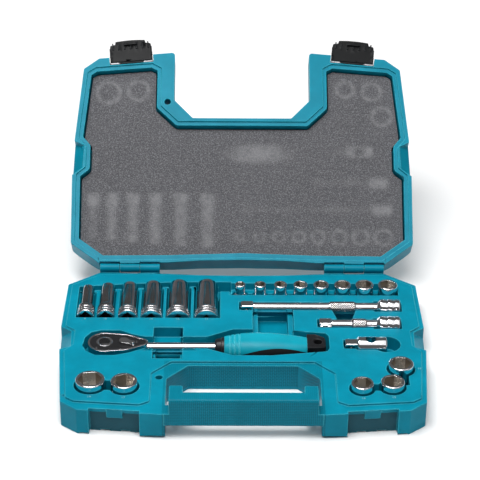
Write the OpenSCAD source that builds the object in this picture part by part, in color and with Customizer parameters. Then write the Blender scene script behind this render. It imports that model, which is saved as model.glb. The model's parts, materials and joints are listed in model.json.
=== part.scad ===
// Socket wrench set in a hinged carrying case: open lid, tools seated in the tray.
// Millimetres, +Z up, +X to the right, +Y towards the hinges.
// Origin: centre of the tray's flat resting face.
// Plan positions are given as x and as a forward distance from the hinge axis.

/* [Case] */
// Greatest width of the case
case_w = 337.2; // [334:0.2:360]
// Width of the case across its front corners
front_w = 321; // [316:1:328]
// Forward distance of the front edge beside the handle
front_d = 233.2; // [232:0.2:245]
// Forward distance of the rear edge beside the hinges
rear_d = 4.2; // [3.8:0.1:5]
// Height of the tray from its resting face to the parting plane
tray_h = 26; // [25.6:0.2:34]
// Height of the lid above the parting plane
lid_h = 25; // [24:0.5:34]
// Step of the deck above the tray's rim
deck_step = 2; // [1.2:0.2:2.6]
// Width of the rim beside the deck
rim_w = 4.4; // [3.8:0.1:5]
// Width of the rim along the front, in front of the deck
front_rim_w = 10.6; // [10:0.2:12]
// Width of the rim along the sides of the hand opening
grip_rim_w = 13.9; // [12:0.1:14.5]
// Depth of the sloping notches in the case's sides
side_notch = 10; // [6:0.5:11]
// Radius of the long lower and upper edges of the case
edge_r = 8; // [4:1:10]
// Diameter of the padlock hole
padlock_hole_d = 6.4; // [5:0.2:8]

/* [Lid and foam] */
// Angle of the open lid from closed
lid_open_angle = 142.5; // [95:2.5:160]
// Gap between the tops of the tools and the foam
foam_gap = 0.4; // [0.2:0.1:1]
// Thickness of the foam pad
foam_t = 12; // [8:0.5:12.4]
// Margin between the foam and the cavity wall
foam_margin = 1.4; // [0.5:0.1:3]
// Width of the flat ledge inside the lid
lid_ledge = 3.6; // [2.4:0.2:4.4]

/* [Hinges and latches] */
// Height of the hinge axis above the parting plane
hinge_rise = 4; // [3:0.5:5]
// Radius of the hinge knuckles
knuckle_r = 3.9; // [3:0.1:4.2]
// Radius of the hinge pins
hinge_pin_r = 1.6; // [1:0.1:2.2]
// Width of one of the three knuckles of a hinge
knuckle_w = 19.5; // [14:0.5:20]
// Centre of each hinge from the middle of the case
hinge_x = 109.2; // [104:0.2:112]
// Width of a latch
latch_w = 43.4; // [38:0.2:43.4]
// Length of a latch below its pivot
latch_len = 27; // [22:0.5:29]
// Thickness of a latch's plate
latch_t = 2.4; // [1.8:0.1:2.8]
// Radius of the latch pins
latch_pin_r = 1.3; // [0.9:0.1:1.5]
// Centre of each latch from the middle of the case
latch_x = 112.9; // [110:0.2:116]

/* [Handle] */
// Half the width of the hand opening
grip_half_w = 68.3; // [64:0.1:70]
// Length of the hand opening from the front edge
grip_len = 73.5; // [68:0.5:74]
// Thickness of the handle bar from front to back
bar_t = 13.6; // [11:0.2:15]
// Height of the handle bar
bar_h = 28.3; // [24:0.1:30]

/* [Tools] */
// Side of the drive squares
drive_sq = 9.45; // [9.3:0.05:9.5]
// Clearance of a square socket over a drive square
square_play = 0.2; // [0.1:0.05:0.4]
// Height of the tallest tools above the parting plane
tool_top = 8.2; // [6:0.2:9]
// Length of the shallow sockets of the rear row
row_len = 25; // [23:0.5:28]
// Length of the shallow sockets at the front
front_len = 28; // [25:0.5:30]
// Length of a deep socket, less its size
deep_len = 40.5; // [37:0.5:42]
// Outer diameter of a socket's drive end
drive_end_d = 16.4; // [15.6:0.1:17]
// Length of the long extension
long_len = 150; // [145:1:151]
// Length of the short extension
short_len = 75; // [70:1:76]
// Diameter of the extensions' shanks
bar_d = 9.5; // [8.4:0.1:10]
// Diameter of the extensions' female heads
head_d = 16.4; // [15.6:0.1:17]
// Clearance between a tool and its pocket
pocket_gap = 0.5; // [0.3:0.1:0.8]

/* [Ratchet] */
// Radius of the ratchet's round head
head_r = 15.3; // [14.6:0.1:16]
// Thickness of the ratchet's head
head_t = 13; // [12.4:0.1:13.4]
// Number of teeth on the drive gear, a multiple of twelve
gear_teeth = 36; // [24:12:48]
// Tip radius of the drive gear
gear_r = 10.2; // [9.6:0.1:10.4]
// Half the height of the grip at its thickest
grip_r = 12.2; // [11:0.1:12.4]
// Extra half width of the grip over its half height
grip_flat = 3.2; // [1:0.1:4]
// Swing of the reverse lever to each side
lever_swing = 30; // [20:1:32]

/* [Hidden] */
row_af = [6, 7, 8, 9, 10, 11, 12, 13];
row_x = [-1.9, 17.2, 36.6, 55.8, 75.5, 96, 117, 139.2];
front_af = [19, 17, 14, 15, 16];
front_x = [-135.2, -105.2, 104.8, 131.7, 141.3];
front_in = [41.4, 39.2, 37, 39.3, 67.1];
front_turn = [8, 20, 4, 17, 0];
deep_af = [8, 10, 12, 14, 16, 17];
deep_x = [-147.2, -128.4, -107.8, -85.6, -60.6, -33.8];
row_names = [for (a = row_af) str("socket_", a, "mm")];
front_names = [for (a = front_af) str("socket_", a, "mm")];
deep_names = [for (a = deep_af) str("deep_socket_", a, "mm")];
$fn = 64;

// Case: derived sizes
half_w = case_w / 2;
front_half = front_w / 2;
hinge_y = (front_d + rear_d) / 2;
parting_z = tray_h;
deck_z = tray_h + deck_step;
hinge_z = tray_h + hinge_rise;
over = 60;
front_slope = 5.35;
latch_d = front_d - 4.2;
corner_x = 138.8;
front_corner_x = front_half - 15.2;
notch_start = 96.8;
notch_end = 135.9;
notch_slope_h = 13;
grip_floor_d = front_d - grip_len;
grip_floor_x = grip_half_w - 18.8;
grip_side_d = front_d - 53.5;
lid_play = 0.35;
lid_swing_play = 1;
run_play = 0.05;
z_seat = 0.35;

function back(d) = hinge_y - d;
function both(half) = concat(half, [for (i = [len(half) - 1:-1:0]) if (half[i][0] > 0)
    [-half[i][0], half[i][1]]]);
function plan(half) = [for (p = both(half)) [p[0], back(p[1])]];

// Outer outline of the case, right half, from the rear centre round to the hand opening
outline_half = [[0, rear_d + 3], [42, rear_d + 2.2], [72, rear_d], [corner_x, rear_d - 1.2],
    [half_w - 1.2, rear_d + 20], [half_w, notch_start], [half_w - 1.4, notch_end],
    [front_half, front_d - 19], [front_corner_x, front_d - 7.2], [grip_half_w, front_d],
    [grip_half_w, grip_side_d], [grip_floor_x, grip_floor_d], [0, grip_floor_d]];

// Outline of the raised deck, right half
deck_half = [[0, rear_d + 3 + rim_w], [72, rear_d + rim_w + 0.6], [corner_x - 2, rear_d + rim_w],
    [half_w - rim_w - 0.8, rear_d + 24], [half_w - rim_w, notch_start + 1],
    [half_w - side_notch - rim_w + 0.8, notch_start + 9],
        [half_w - side_notch - rim_w + 0.8, notch_end - 7],
    [half_w - rim_w - 1.4, notch_end + 2.5], [front_half - rim_w, front_d - 23],
    [front_corner_x + 3, front_d - front_rim_w - 7],
        [grip_half_w + grip_rim_w + 9, front_d - front_rim_w - 2],
    [grip_half_w + grip_rim_w, front_d - front_rim_w - 7], [grip_half_w + grip_rim_w, grip_side_d - 6.4],
    [grip_floor_x + 15, grip_floor_d - rim_w + 0.4], [0, grip_floor_d - rim_w + 0.4]];

// Tools: derived sizes
function nose_d(af) = 1.21 * af + 2.9;
function deep_nose_d(af) = 1.07 * af + 3.3;
function deep_drive_d(af) = max(drive_end_d, 1.07 * af + 5.4);
function shallow_drive_d(af) = max(drive_end_d, 0.88 * nose_d(af));
function widest_d(af) = max(drive_end_d, nose_d(af));
row_d = 35;
deep_front_d = 81.5;
deep_wall_d = 84.5;
ext_z = parting_z + tool_top - head_d / 2;
long_x = -1.5;
long_d = 63.9;
short_x = 71.2;
short_d = 93;
tee_x = 93.5;
tee_d = 127.2;
tee_end_x = tee_x + 38;
tee_hole_r = 4.9;
sq_len = 11;
head_len = 18.5;
knurl_grow = 0.8;
ball_r = 1.5;
ball_out = 0.7;

// Ratchet: derived sizes, in its own frame: gear axis at x = 0, top of the head at z = 0
ratchet_x = -126.5;
ratchet_d = 124.3;
ratchet_z = parting_z + 1.6;
shank_z = -6.1;
shank_r = bar_d / 2;
collar_x = 101;
grip_x = 109.5;
butt_x = 185.3;
butt_end_x = butt_x + 17.4;
hang_x = butt_x + 10.1;
hang_r = 3.9;
pivot_x = 17.5;
cover_t = 1.2;
gear_top = -3.4;
gear_bottom = -10.6;
hub_r = 7.4;
hub_top = 0.4;
hub_bottom = -head_t - 0.8;
square_bottom = hub_bottom - 9.4;
stem_r = 2.1;
stem_waist_r = 1.4;
cap_r = 5;
button_travel = 1.8;
anvil_ball_z = square_bottom + 4.9;
tooth_h = 0.9;
pawl_rock = 3;
pawl_play = 0.2;

// ---------------------------------------------------------------- general shapes

module rounded(r) {
    offset(r = r, $fn = 40) offset(delta = -r) children();
}

module filleted(r) {
    offset(r = -r, $fn = 40) offset(delta = r) children();
}

module box(x, d, z) {
    // x = [low, high], d = [near the hinge, far from it], z = [low, high]
    translate([x[0], back(d[1]), z[0]]) cube([x[1] - x[0], d[1] - d[0], z[1] - z[0]]);
}

module rod_x(x0, x1, y, z, r) {
    translate([x0, y, z]) rotate([0, 90, 0]) cylinder(h = x1 - x0, r = r);
}

// ---------------------------------------------------------------- case shells

module case_plan(half, r) {
    filleted(r) rounded(r) polygon(plan(half));
}

// A half shell of the case with rounded long edges away from the parting plane, from z = 0 up to h
module half_shell(h) {
    intersection() {
        linear_extrude(h) case_plan(outline_half, 3);
        translate([0, case_w, 0]) rotate([90, 0, 0]) linear_extrude(2 * case_w) shell_profile(case_w, h);
        translate([-case_w, back((rear_d + front_d) / 2), 0]) rotate([90, 0, 90])
            linear_extrude(2 * case_w) shell_profile(front_d - rear_d + 2.4, h);
    }
}

module shell_profile(w, h) {
    difference() {
        translate([-w / 2, 0]) offset(r = edge_r, $fn = 48) translate([edge_r, edge_r])
            square([w - 2 * edge_r, h + edge_r]);
        translate([-w, h]) square([2 * w, h + 4 * edge_r]);
    }
}

// The sloping notch cut out of both sides of a half shell, with its parting plane at z = 0
module side_notches() {
    for (s = [-1, 1]) scale([s, 1, 1]) intersection() {
        translate([0, 0, -over]) linear_extrude(2 * over) polygon([for (p = [[half_w + 9, notch_start - 7],
            [half_w - side_notch, notch_start + 8], [half_w - side_notch - 1, notch_end - 7],
            [half_w + 9, notch_end + 3]]) [p[0], back(p[1])]]);
        translate([0, back(notch_start) + 20, 0]) rotate([90, 0, 0]) linear_extrude(100)
            polygon([[half_w - side_notch - 2, over], [half_w - side_notch - 2, 0],
                [half_w + 1, -notch_slope_h], [half_w + 20, -notch_slope_h], [half_w + 20, over]]);
    }
}

// Places its children in the frame of one latch: x along the front face, -y outwards,
// z from the parting plane
module at_latch(s) {
    translate([s * latch_x, back(latch_d), parting_z]) rotate([0, 0, s * front_slope]) children();
}

// How far a joining wall stands inside the round it meets
flush = 0.01;

// A circle of radius r1 at x1 joined by its tangents to one of radius r2 at x2
module tapered(x1, r1, x2, r2) {
    a = asin((r1 - r2) / (x2 - x1));
    translate([x1, 0]) circle(r1);
    translate([x2, 0]) circle(r2);
    polygon([for (p = [[x1, r1 - flush, 1], [x2, r2 - flush, 1], [x2, r2 - flush, -1],
        [x1, r1 - flush, -1]])
        [p[0] + p[1] * sin(a), p[2] * p[1] * cos(a)]]);
}

// A coil of wire of the given side along z, from z = 0 up to z = h
module coil(r, wire, h, turns) {
    steps = 12 * turns;
    lift = (h - wire) / steps;
    points = [for (i = [0:steps], k = [[-1, -1], [1, -1], [1, 1], [-1, 1]])
        [(r + k[0] * wire / 2) * cos(30 * i), (r + k[0] * wire / 2) * sin(30 * i),
            wire / 2 + lift * i + k[1] * wire / 2]];
    sides = [for (i = [0:steps - 1], k = [0:3], t = [[0, 4, 5], [0, 5, 1]])
        [for (n = t) 4 * i + (n > 3 ? 4 : 0) + (k + n % 4) % 4]];
    polyhedron(points, concat([[0, 1, 2], [0, 2, 3]], sides,
        [for (t = [[2, 1, 0], [3, 2, 0]]) [for (n = t) 4 * steps + n]]));
}

// ---------------------------------------------------------------- hinges

knuckle_side_play = 0.2;
web_back = knuckle_r - 1.3;
hinge_slot = knuckle_r + 1;

// One knuckle with its pin hole, k = -1, 0 or 1 along the hinge
module knuckle(x, k) {
    rod_x(x + (k - 0.5) * knuckle_w + knuckle_side_play, x + (k + 0.5) * knuckle_w - knuckle_side_play,
        hinge_y, hinge_z, knuckle_r);
}

module knuckle_web(x, k, z) {
    box([x + (k - 0.5) * knuckle_w + knuckle_side_play, x + (k + 0.5) * knuckle_w - knuckle_side_play],
        [-web_back, rear_d + 3], z);
}

module pin_bores() {
    for (s = [-1, 1]) rod_x(s * hinge_x - 1.5 * knuckle_w - 1, s * hinge_x + 1.5 * knuckle_w + 1,
        hinge_y, hinge_z, hinge_pin_r + run_play);
}

module hinge_pin(s) {
    rod_x(s * hinge_x - 1.5 * knuckle_w + 0.4, s * hinge_x + 1.5 * knuckle_w - 0.4, hinge_y,
        hinge_z, hinge_pin_r);
}

module hinge_pin_left() {
    color("dimgray") hinge_pin(-1);
}

module hinge_pin_right() {
    color("dimgray") hinge_pin(1);
}

// ---------------------------------------------------------------- pockets for the tools

row_half = drive_end_d / 2 + pocket_gap;
trough_d = [row_d - 11, row_d + row_half + 1.1];
trough_z = parting_z - 6;
slot_z = parting_z - 14;
upright_gap = 1.7;
bay_front_d = deep_wall_d;
bay_z = parting_z + tool_top - deep_nose_d(deep_af[5]) / 2 - 1.2;
deep_d = [for (a = deep_af) deep_front_d - deep_len - a];

module well(x, d, r, bottom) {
    translate([x, back(d), bottom]) cylinder(h = over, r = r);
}

module row_pockets() {
    last = len(row_x) - 1;
    box([row_x[0] - row_half - 1.5, row_x[last] + row_half + 1], trough_d, [trough_z, over]);
    for (i = [0:last]) well(row_x[i], row_d, widest_d(row_af[i]) / 2 + pocket_gap,
        parting_z + tool_top - row_len - z_seat);
    for (i = [0:last - 1]) box([row_x[i], row_x[i + 1]], [row_d - 4.5, row_d + 4.5], [slot_z, over]);
}

module front_pockets() {
    bottom = parting_z + tool_top - front_len - z_seat;
    for (i = [0:len(front_af) - 1])
        well(front_x[i], front_d - front_in[i], widest_d(front_af[i]) / 2 + upright_gap, bottom);
    for (p = [[0, 1], [2, 3]]) box([front_x[p[0]], front_x[p[1]]],
        [front_d - front_in[p[0]] - 6.5, front_d - front_in[p[1]] + 5.5], [bottom + 2, over]);
    translate([front_x[4] - 4, back(front_d - front_in[4] + 25), bottom + 2]) cube([10, 25, over]);
}

// The bay of the deep sockets: a shared recess with a round cradle under each socket
module deep_pockets() {
    last = len(deep_x) - 1;
    x0 = deep_x[0] - deep_drive_d(deep_af[0]) / 2 - pocket_gap;
    x1 = deep_x[last] + deep_drive_d(deep_af[last]) / 2 + pocket_gap + 0.6;
    translate([0, 0, bay_z]) linear_extrude(over) polygon(concat([[x0, back(bay_front_d)],
        [x0, back(deep_d[0] - 2)]],
        [for (i = [0:last - 1]) [(deep_x[i] + deep_x[i + 1]) / 2, back(deep_d[i + 1] - 2)]],
        [[x1, back(deep_d[last] - 2)], [x1, back(bay_front_d)]]));
    for (i = [0:last]) translate([deep_x[i], back(bay_front_d), deep_axis_z(i)]) rotate([-90, 0, 0])
        cylinder(h = bay_front_d - deep_d[i] + 1, r = deep_drive_d(deep_af[i]) / 2 + pocket_gap);
    // finger recess between the bay and the row of upright sockets
    box([x1 - 2, row_x[0] - row_half], [trough_d[0] - 2, trough_d[1] - 6], [trough_z - 4, over]);
}

// A straight pocket under a round tool that lies along x, half the width of the tool plus its margin
module lying_pocket(x, d, r, margin) {
    box(x, [d - r - margin, d + r + margin], [ext_z - r - z_seat, over]);
}

module extension_pocket(x, d, len) {
    lying_pocket([x - 1.6, x + sq_len + 1], d, drive_sq * 0.7, 0.3);
    lying_pocket([x + sq_len, x + len - head_len], d, bar_d / 2 + knurl_grow, 1.4);
    lying_pocket([x + len - head_len - 6, x + len + 1.6], d, head_d / 2, 0.7);
}

module tee_pocket() {
    lying_pocket([tee_x - 1.4, tee_x + sq_len + 1], tee_d, drive_sq * 0.7, 0.5);
    lying_pocket([tee_x + sq_len - 0.8, tee_end_x + 1], tee_d, head_d / 2, 0.7);
    translate([tee_end_x, back(tee_d), parting_z - 12]) cylinder(h = over, r = 12.6);
}

// Wells for fingertips beside the tools
module finger_wells() {
    ratchet_rear = ratchet_d - grip_r - grip_flat - 4;
    box([long_x + 11, long_x + 49], [long_d, ratchet_rear + 1], [parting_z - 5, over]);
    box([long_x + 16, long_x + 44], [long_d, ratchet_rear + 6], [parting_z - 16, over]);
    translate([0, 0, parting_z - 12]) linear_extrude(over) polygon([[long_x + 84, back(long_d)],
        [long_x + 110, back(long_d)], [long_x + 102, back(short_d)], [long_x + 92, back(short_d)]]);
    box([ratchet_x + 44.3, ratchet_x + 71.3], [ratchet_d - 23.5, ratchet_d + 26.6], [parting_z - 9, over]);
    box([ratchet_x + 46.5, ratchet_x + 69], [ratchet_d - 8, ratchet_d + 24.5], [parting_z - 18, over]);
}

// Plan of the ratchet's pocket, in the ratchet's frame
module ratchet_pocket_plan(grow) {
    side = grip_r + grip_flat + 4;
    thick = [grip_x + 8.5, butt_x - 33.3];
    end_x = butt_end_x + 1.3;
    offset(r = grow, $fn = 24) polygon([[-head_r - 1.7, 6], [-12, 14], [-4, head_r + 1.7],
        [13, head_r + 1.7],
        [neck_x, 11], [neck_end_x - 8, 7], [collar_x - 7, 7], [thick[0], side], [thick[1], side],
        [end_x - 2, grip_r + 1], [end_x, grip_r - 3], [end_x, 3 - grip_r], [end_x - 2, -1 - grip_r],
        [thick[1], -0.4 - side], [thick[0], -0.4 - side], [collar_x - 7, -9], [neck_end_x - 8, -9],
        [neck_x - 2, -head_r - 0.7], [10, -head_r - 4.7], [-7, -head_r - 4.7], [-15, -14],
            [-head_r - 2.7, -6]]);
}

module ratchet_pockets() {
    translate([ratchet_x, back(ratchet_d), 0]) {
        translate([0, 0, ratchet_z - head_t - z_seat]) linear_extrude(over) intersection() {
            ratchet_pocket_plan(1.5);
            translate([-over, -over]) square([over + neck_end_x - 2, 2 * over]);
        }
        translate([0, 0, ratchet_z + shank_z - shank_r - z_seat]) linear_extrude(over)
            ratchet_pocket_plan(1.5);
        translate([0, 0, ratchet_z + shank_z - grip_r - z_seat]) linear_extrude(over) intersection() {
            ratchet_pocket_plan(1.5);
            translate([collar_x - 2, -over]) square([2 * over, 2 * over]);
        }
        translate([0, 0, ratchet_z + square_bottom - z_seat]) cylinder(h = over, r = hub_r + 1.2);
    }
}

function deep_axis_z(i) = parting_z + tool_top - deep_drive_d(deep_af[i]) / 2;

module all_pockets() {
    row_pockets();
    front_pockets();
    deep_pockets();
    extension_pocket(long_x, long_d, long_len);
    extension_pocket(short_x, short_d, short_len);
    tee_pocket();
    finger_wells();
    ratchet_pockets();
}

// ---------------------------------------------------------------- tray

latch_recess = 3;
latch_ramp_h = 5.9;
latch_panel_y = 6.4;
latch_tab_w = 14;
latch_tab_h = 10.5;
latch_side_play = 0.5;
foot_t = 1.2;
bar_block_w = 12;
bar_block_len = 22.2;
foot_w = 18;

module bar_profile(r) {
    rounded(r) translate([0, (bar_h / 2 + 0.65) - bar_h]) square([bar_t, bar_h]);
}

// The handle bar, its profile drawn from its front face backwards
module handle() {
    front_y = back(front_d) + 0.5;
    bar_x = grip_half_w - 3.3;
    translate([-bar_x, front_y, parting_z]) rotate([90, 0, 90]) linear_extrude(2 * bar_x) bar_profile(2.4);
    intersection() {
        translate([-grip_half_w - 1, front_y, parting_z]) rotate([90, 0, 90])
            linear_extrude(2 * grip_half_w + 2) bar_profile(2.4);
        translate([-case_w, -case_w, 0]) cube([2 * case_w, 2 * case_w, parting_z]);
    }
    for (s = [-1, 1]) translate([s * (bar_x - bar_block_w / 2), front_y + bar_block_len / 2 + 3,
        parting_z - bar_h / 2 + 0.65])
        linear_extrude(bar_h) rounded(2) square([bar_block_w, bar_block_len - 6], center = true);
}

// The recess for a latch in the tray's front, with the catch tab in its middle
module latch_tray_recess() {
    half = latch_w / 2 + latch_side_play;
    translate([-half, 0, 0]) rotate([90, 0, 90]) linear_extrude(2 * half)
        polygon([[-over, over], [latch_recess, over],
        [latch_recess, 0], [latch_panel_y, -latch_ramp_h], [latch_panel_y, foot_t - parting_z - over],
            [-over, foot_t - parting_z - over]]);
}

module latch_tab() {
    translate([-latch_tab_w / 2, 0, 0]) rotate([90, 0, 90]) linear_extrude(latch_tab_w)
        polygon([[latch_panel_y + 1, -0.5],
        [latch_recess, -0.01], [latch_recess + 1.7, -latch_tab_h], [latch_panel_y + 1, -latch_tab_h]]);
}

// Shallow notches under the case that leave feet below each latch
module foot_notches() {
    for (i = [-3:2:3]) translate([i * foot_w / 2 - 4, -over / 2, -parting_z - 1])
        cube([8, over, foot_t + 1]);
}

module tray_blank() {
    half_shell(parting_z);
    intersection() {
        translate([0, 0, parting_z - 1]) linear_extrude(deck_step + 1) case_plan(deck_half, 2);
        translate([-case_w, -case_w, 0]) cube([2 * case_w, 2 * case_w, deck_z]);
    }
}

module tray() {
    color("darkcyan") difference() {
        union() {
            difference() {
                tray_blank();
                for (s = [-1, 1]) at_latch(s) latch_tray_recess();
                translate([0, 0, parting_z]) side_notches();
                all_pockets();
            }
            for (s = [-1, 1]) at_latch(s) latch_tab();
            handle();
            for (s = [-1, 1], k = [-1, 1]) {
                knuckle(s * hinge_x, k);
                knuckle_web(s * hinge_x, k, [parting_z - 7, parting_z - 0.1]);
                box([s * hinge_x + (k - 0.5) * knuckle_w + knuckle_side_play,
                    s * hinge_x + (k + 0.5) * knuckle_w - knuckle_side_play], [-web_back, web_back],
                        [parting_z - 7, hinge_z]);
            }
        }
        pin_bores();
        padlock_holes();
        for (s = [-1, 1]) at_latch(s) foot_notches();
    }
}

module padlock_holes() {
    translate([-padlock_x, back(padlock_d), -1]) cylinder(h = 4 * tray_h, r = padlock_hole_d / 2);
}

padlock_x = grip_half_w + 6.7;
padlock_d = front_d - 55.6;

// ---------------------------------------------------------------- lid, drawn closed and then opened

module opened_lid() {
    translate([0, hinge_y, hinge_z]) rotate([-lid_open_angle, 0, 0]) translate([0, -hinge_y, -hinge_z])
        children();
}

foam_z = parting_z + tool_top + foam_gap;
cavity_top = foam_z + foam_t + z_seat;
lid_top = parting_z + lid_h;
latch_pivot_y = 3.6;
latch_pivot_z = 9.5;
latch_bay_y = 8.6;
latch_bay_h = 15.4;

module lid() {
    color("darkcyan") opened_lid() difference() {
        union() {
            difference() {
                translate([0, 0, lid_top]) mirror([0, 0, 1]) half_shell(lid_h - lid_play);
                for (y = [0, lid_swing_play]) translate([0, y, parting_z - 1])
                    linear_extrude(1 + deck_step + lid_play) offset(delta = lid_play)
                        case_plan(deck_half, 2);
                translate([0, 0, parting_z - 1]) linear_extrude(cavity_top - parting_z + 1)
                    offset(delta = -lid_ledge) case_plan(deck_half, 2);
                translate([0, 0, parting_z]) mirror([0, 0, 1]) side_notches();
                for (s = [-1, 1]) at_latch(s) latch_lid_bay();
                for (s = [-1, 1], k = [-1, 1]) box([s * hinge_x + (k - 0.5) * knuckle_w - knuckle_side_play,
                    s * hinge_x + (k + 0.5) * knuckle_w + knuckle_side_play], [-over, hinge_slot],
                        [0, hinge_z + hinge_slot]);
            }
            for (s = [-1, 1]) {
                knuckle(s * hinge_x, 0);
                knuckle_web(s * hinge_x, 0, [hinge_z, hinge_z + 7]);
            }
        }
        pin_bores();
        padlock_holes();
        for (s = [-1, 1]) at_latch(s) rod_x(-latch_w / 2 - latch_pin_seat, latch_w / 2 + latch_pin_seat,
            latch_pivot_y, latch_pivot_z, latch_pin_r + run_play);
    }
}

latch_pin_seat = 4;

module latch_lid_bay() {
    half = latch_w / 2 + latch_side_play;
    translate([-half, -over, -over]) cube([2 * half, over + latch_bay_y, over + latch_bay_h]);
}

module lid_foam() {
    color("dimgray") opened_lid() translate([0, 0, foam_z]) linear_extrude(foam_t)
        offset(delta = -lid_ledge - foam_margin) case_plan(deck_half, 2);
}

// ---------------------------------------------------------------- latches

latch_knuckle_r = 2.5;
latch_skin_y = 0.3;
rib_h = 1;
// Heights of the ribs along a latch's sides, which leave out the tray's front edge
side_ribs = [[latch_pivot_z - 18, -1.6], [0.3, latch_pivot_z - 3]];

module at_open_latch(s) {
    opened_lid() at_latch(s) translate([0, latch_pivot_y, latch_pivot_z]) rotate([-90, 0, 0])
        translate([0, -latch_pivot_y, -latch_pivot_z]) children();
}

module latch_outline() {
    w = latch_w / 2;
    tip = latch_pivot_z - latch_len;
    intersection() {
        polygon([[-w, latch_pivot_z + latch_knuckle_r], [-w, latch_pivot_z - 6],
            [0.6 - w, tip + 7], [1.2 - w, tip + 5],
            [6 - w, tip + 4], [6.8 - w, tip], [w - 6.8, tip], [w - 6, tip + 4], [w - 1.2, tip + 5],
            [w - 0.6, tip + 7], [w, latch_pivot_z - 6], [w, latch_pivot_z + latch_knuckle_r]]);
        translate([0, tip + 3 * latch_w]) circle(3 * latch_w, $fn = 200);
    }
}

// One latch as it hangs when closed
module latch_closed() {
    w = latch_w / 2;
    plate_y = latch_skin_y + latch_t;
    difference() {
        union() {
            translate([0, plate_y, 0]) rotate([90, 0, 0]) linear_extrude(latch_t) latch_outline();
            for (s = [-1, 1], z = side_ribs) translate([s * (w - 0.7) - 0.7, latch_skin_y, z[0]])
                cube([1.4, latch_t + rib_h, z[1] - z[0]]);
            for (i = [-3:3]) translate([6 * i - 0.6, latch_skin_y, latch_pivot_z - latch_len + 3])
                cube([1.2, latch_t + rib_h, 7.5]);
            translate([-latch_tab_w / 2 + 0.5, latch_skin_y, -latch_tab_h - 2.4])
                cube([latch_tab_w - 1, 5.4, 1.9]);
            translate([-12, latch_skin_y, latch_pivot_z - latch_knuckle_r])
                cube([24, latch_pivot_y - latch_skin_y, 2 * latch_knuckle_r]);
            rod_x(-12, 12, latch_pivot_y, latch_pivot_z, latch_knuckle_r);
        }
        rod_x(-w - 1, w + 1, latch_pivot_y, latch_pivot_z, latch_pin_r + run_play);
        for (s = [-1, 1]) translate([s * (w / 2 + 6.5) - (w - 12.5) / 2 - 0.5, latch_skin_y - 1,
            latch_pivot_z - 3.2])
            cube([w - 11.5, 12, 8]);
    }
}

module latch_left() {
    color("#1c1c1e") at_open_latch(-1) latch_closed();
}

module latch_right() {
    color("#1c1c1e") at_open_latch(1) latch_closed();
}

// A latch pin with its two grey sleeves
module latch_pin(s) {
    opened_lid() at_latch(s) {
        rod_x(-latch_w / 2 - latch_pin_seat + 0.4, latch_w / 2 + latch_pin_seat - 0.4,
            latch_pivot_y, latch_pivot_z, latch_pin_r);
        for (k = [-1, 1]) rod_x(k * 17 - 4.4, k * 17 + 4.4, latch_pivot_y, latch_pivot_z,
            latch_knuckle_r - 0.3);
    }
}

module latch_pin_left() {
    color("gray") latch_pin(-1);
}

module latch_pin_right() {
    color("gray") latch_pin(1);
}

// ---------------------------------------------------------------- ratchet, drawn along x from its gear axis

module at_ratchet() {
    translate([ratchet_x, back(ratchet_d), ratchet_z]) children();
}

neck_x = 24;
neck_end_x = 44;
tang_end_x = butt_x - 6;
pawl_hub_r = 3.2;
pawl_arm_r = gear_r + pawl_play + pivot_x * sin(pawl_rock) * 0.66;
pawl_arm_t = 2.4;
chamber_bottom = gear_bottom - run_play;
post_r = 1.5;
lever_r = 2.5;
cover_inset = 1.6;
head_tail_x = neck_x + 10;
head_tail_r = 5.6;
cover_play = 0.1;
screw_ring_r = head_r - 3.15;
screw_places = [[screw_ring_r * cos(125), screw_ring_r * sin(125)],
    [screw_ring_r * cos(125), -screw_ring_r * sin(125)], [head_tail_x - 4.8, 0]];
screw_r = 0.8;
screw_head_r = 1.3;
cap_bottom = -1.2;
cap_top = 0.9;
spring_bottom = -8.4;
stem_bore_bottom = square_bottom + 1.6;
stem_bottom = stem_bore_bottom + button_travel + 0.2;
spring_r = 3;
spring_bore_r = 3.9;

// The plan of the head, set in all round, as a block of the given height
module head_block(inset, h) {
    linear_extrude(h) tapered(0, head_r - inset, pivot_x, head_r - 2.3 - inset);
    linear_extrude(h) tapered(pivot_x, head_r - 2.3 - inset, head_tail_x, head_tail_r - inset);
}

// The outline of the space for the pawl beside the gear
module pawl_space() {
    circle(gear_r + 0.4);
    intersection() {
        circle(pawl_arm_r + pawl_arm_t + 1);
        polygon([[0, 0], [20, 19], [20, -19]]);
    }
    translate([11, -5]) square([pivot_x - 11, 10]);
    translate([pivot_x, 0]) circle(5);
}

module ratchet_body() {
    color("lightgray") at_ratchet() difference() {
        union() {
            difference() {
                union() {
                    translate([0, 0, -head_t]) head_block(0, head_t);
                    translate([neck_x, 0, shank_z]) rotate([0, 90, 0])
                        cylinder(h = neck_end_x - neck_x, r1 = 5.8, r2 = shank_r);
                    rod_x(neck_end_x - 0.01, tang_end_x, 0, shank_z, shank_r);
                }
                translate([0, 0, -cover_t]) head_block(cover_inset, cover_t + 1);
                translate([0, 0, chamber_bottom]) linear_extrude(-chamber_bottom) pawl_space();
                translate([0, 0, -head_t - 1]) cylinder(h = head_t, r = hub_r + run_play);
                translate([pivot_x + 3.4, -2, shank_z - 2]) cube([5.4, 4, 4]);
                for (p = screw_places) translate([p[0], p[1], -6]) cylinder(h = 6, r = screw_r);
            }
            translate([pivot_x, 0, chamber_bottom - 0.5]) cylinder(h = 5.5, r = post_r);
        }
    }
}

module ratchet_cover() {
    color("#222226") at_ratchet() difference() {
        translate([0, 0, -cover_t]) head_block(cover_inset + cover_play, cover_t - 0.05);
        translate([0, 0, -cover_t - 1]) cylinder(h = cover_t + 2, r = hub_r + run_play);
        translate([pivot_x, 0, -cover_t - 1]) cylinder(h = cover_t + 2, r = lever_r + run_play);
        for (p = screw_places) translate([p[0], p[1], -cover_t - 1])
            cylinder(h = cover_t + 2, r = screw_head_r);
    }
}

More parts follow.
